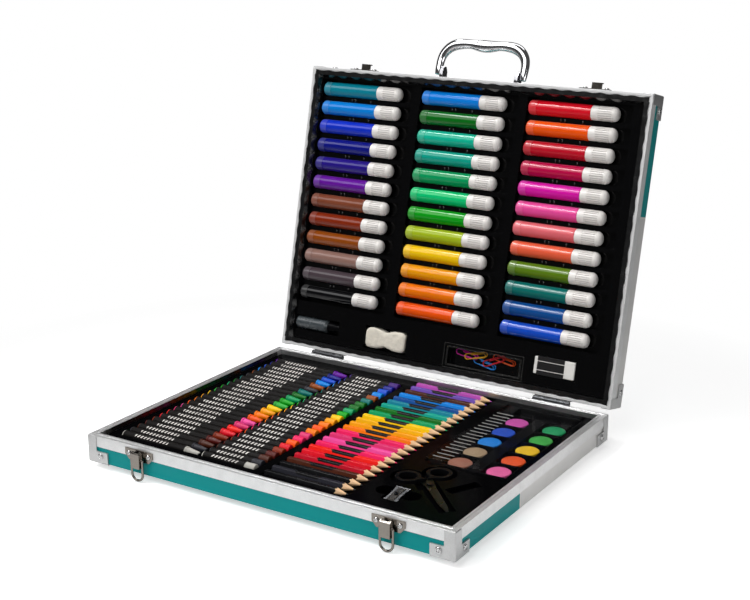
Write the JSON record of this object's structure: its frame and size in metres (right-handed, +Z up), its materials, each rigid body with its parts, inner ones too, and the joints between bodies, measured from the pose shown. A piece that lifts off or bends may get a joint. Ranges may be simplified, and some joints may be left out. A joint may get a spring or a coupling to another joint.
{
  "type": "art case",
  "caption": "Hinged board case with aluminium rims, corner caps, latches and a handle; lid holds markers, base holds crayons, pastels, pencils, paints and tools.",
  "frame": {"origin": "on the table the feet stand on, under the middle of the base", "axes": "+X along the hinges to the viewer's right, +Y from the latches to the hinges, +Z up"},
  "size_m": [0.403, 0.4283, 0.3787],
  "materials": {
    "film_board": "satin printed film on fibreboard",
    "rim_metal": "satin anodised",
    "cap_metal": "satin",
    "rivet_metal": "polished",
    "foot_plastic": "matt",
    "hinge_metal": "satin",
    "latch_metal": "bright nickel",
    "handle_metal": "bright chrome",
    "tray_plastic": "gloss vacuum-formed sheet",
    "crayon_wax": "waxy, one colour each",
    "pastel_wax": "waxy, one colour each",
    "wrap_paper": "printed paper",
    "pencil_wood": "lacquered, one colour each",
    "pencil_lead": "coloured lead",
    "marker_plastic": "gloss, one colour each",
    "marker_cap_plastic": "white, fine ribs",
    "clip_metal": "plastic-coated wire",
    "clear_plastic": "clear",
    "paint_tray_plastic": "gloss",
    "paint_cake": "dry paint, one colour each",
    "blade_steel": "ground",
    "grip_plastic": "gloss",
    "sharpener_metal": "cast and milled",
    "eraser_rubber": "matt",
    "sleeve_card": "printed card",
    "sponge_foam": "open foam",
    "glue_plastic": "translucent",
    "glue_cap_plastic": "gloss"
  },
  "bodies": {
    "base": {"base_bottom_panel": "film_board", "base_front_panel": "film_board", "base_rear_panel": "film_board", "base_left_panel": "film_board", "base_right_panel": "film_board", "base_rim": "rim_metal", "base_corner_caps": "cap_metal", "base_rivets": "rivet_metal", "base_feet": "foot_plastic", "base_tray": "tray_plastic", "crayon_sticks": "crayon_wax", "crayon_wraps": "wrap_paper", "pastel_sticks": "pastel_wax", "pastel_wraps": "wrap_paper", "pencil_barrels": "pencil_wood", "pencil_leads": "pencil_lead", "hinge_base_leaves": "hinge_metal", "hinge_pins": "hinge_metal", "latch_plates": "latch_metal", "latch_pivot_pins": "latch_metal"},
    "lid": {"lid_top_panel": "film_board", "lid_front_panel": "film_board", "lid_rear_panel": "film_board", "lid_left_panel": "film_board", "lid_right_panel": "film_board", "lid_rim": "rim_metal", "lid_corner_caps": "cap_metal", "lid_rivets": "rivet_metal", "lid_tray": "tray_plastic", "marker_barrels": "marker_plastic", "marker_caps": "marker_cap_plastic", "hinge_lid_leaves": "hinge_metal", "latch_hooks": "latch_metal", "handle_brackets": "handle_metal", "handle_pins": "handle_metal", "paper_clips": "clip_metal"},
    "handle": {"handle_grip": "handle_metal"},
    "lever_left": {"latch_lever_left": "latch_metal"},
    "lever_right": {"latch_lever_right": "latch_metal"},
    "bail_left": {"latch_bail_left": "latch_metal"},
    "bail_right": {"latch_bail_right": "latch_metal"},
    "clip_cover": {"clip_cover": "clear_plastic"},
    "glue": {"glue_tube": "glue_plastic", "glue_cap": "glue_cap_plastic"},
    "sponge": {"sponge": "sponge_foam"},
    "eraser": {"eraser_block": "eraser_rubber", "eraser_sleeve": "sleeve_card"},
    "paint_box": {"paint_tray": "paint_tray_plastic", "paint_cakes": "paint_cake"},
    "paint_lid": {"paint_lid": "clear_plastic"},
    "scissors": {"scissor_blade_lower": "blade_steel", "scissor_grip_lower": "grip_plastic", "scissor_rivet": "blade_steel"},
    "scissors_upper": {"scissor_blade_upper": "blade_steel", "scissor_grip_upper": "grip_plastic"},
    "sharpener": {"sharpener_body": "sharpener_metal", "sharpener_blade": "blade_steel", "sharpener_screw": "blade_steel"}
  },
  "joints": [
    {"name": "lid_hinge", "type": "hinge", "parent": "base", "child": "lid", "pos_m": [0, 0.1591, 0.034], "axis": [-1, 0, 0], "range_deg": [-103, 0]},
    {"name": "handle_swing", "type": "hinge", "parent": "lid", "child": "handle", "pos_m": [0, 0.24825, 0.34368], "axis": [-1, 0, 0], "range_deg": [-95, 0]},
    {"name": "lever_left_swing", "type": "hinge", "parent": "base", "child": "lever_left", "pos_m": [-0.136, -0.1595, 0.0281], "axis": [1, 0, 0], "range_deg": [-100, 0]},
    {"name": "bail_left_swing", "type": "hinge", "parent": "lever_left", "child": "bail_left", "pos_m": [-0.136, -0.1595, 0.0231], "axis": [-1, 0, 0], "range_deg": [0, 180]},
    {"name": "lever_right_swing", "type": "hinge", "parent": "base", "child": "lever_right", "pos_m": [0.136, -0.1595, 0.0281], "axis": [1, 0, 0], "range_deg": [-100, 0]},
    {"name": "bail_right_swing", "type": "hinge", "parent": "lever_right", "child": "bail_right", "pos_m": [0.136, -0.1595, 0.0231], "axis": [-1, 0, 0], "range_deg": [0, 180]},
    {"name": "paint_box_lift", "type": "slide", "parent": "base", "child": "paint_box", "axis": [0, 0, 1], "range_m": [0, 0.03]},
    {"name": "paint_lid_lift", "type": "slide", "parent": "paint_box", "child": "paint_lid", "axis": [0, 0, 1], "range_m": [0, 0.02]},
    {"name": "scissors_lift", "type": "slide", "parent": "base", "child": "scissors", "axis": [0, 0, 1], "range_m": [0, 0.03]},
    {"name": "scissors_pivot", "type": "hinge", "parent": "scissors", "child": "scissors_upper", "pos_m": [0.129, -0.075, 0.0273], "axis": [0, 0, 1], "range_deg": [-6, 0]},
    {"name": "sharpener_lift", "type": "slide", "parent": "base", "child": "sharpener", "axis": [0, 0, 1], "range_m": [0, 0.03]},
    {"name": "clip_cover_pull", "type": "slide", "parent": "lid", "child": "clip_cover", "axis": [0, -0.9744, 0.225], "range_m": [0, 0.015]},
    {"name": "glue_pull", "type": "slide", "parent": "lid", "child": "glue", "axis": [0, -0.9744, 0.225], "range_m": [0, 0.02]},
    {"name": "sponge_pull", "type": "slide", "parent": "lid", "child": "sponge", "axis": [0, -0.9744, 0.225], "range_m": [0, 0.02]},
    {"name": "eraser_pull", "type": "slide", "parent": "lid", "child": "eraser", "axis": [0, -0.9744, 0.225], "range_m": [0, 0.02]}
  ]
}
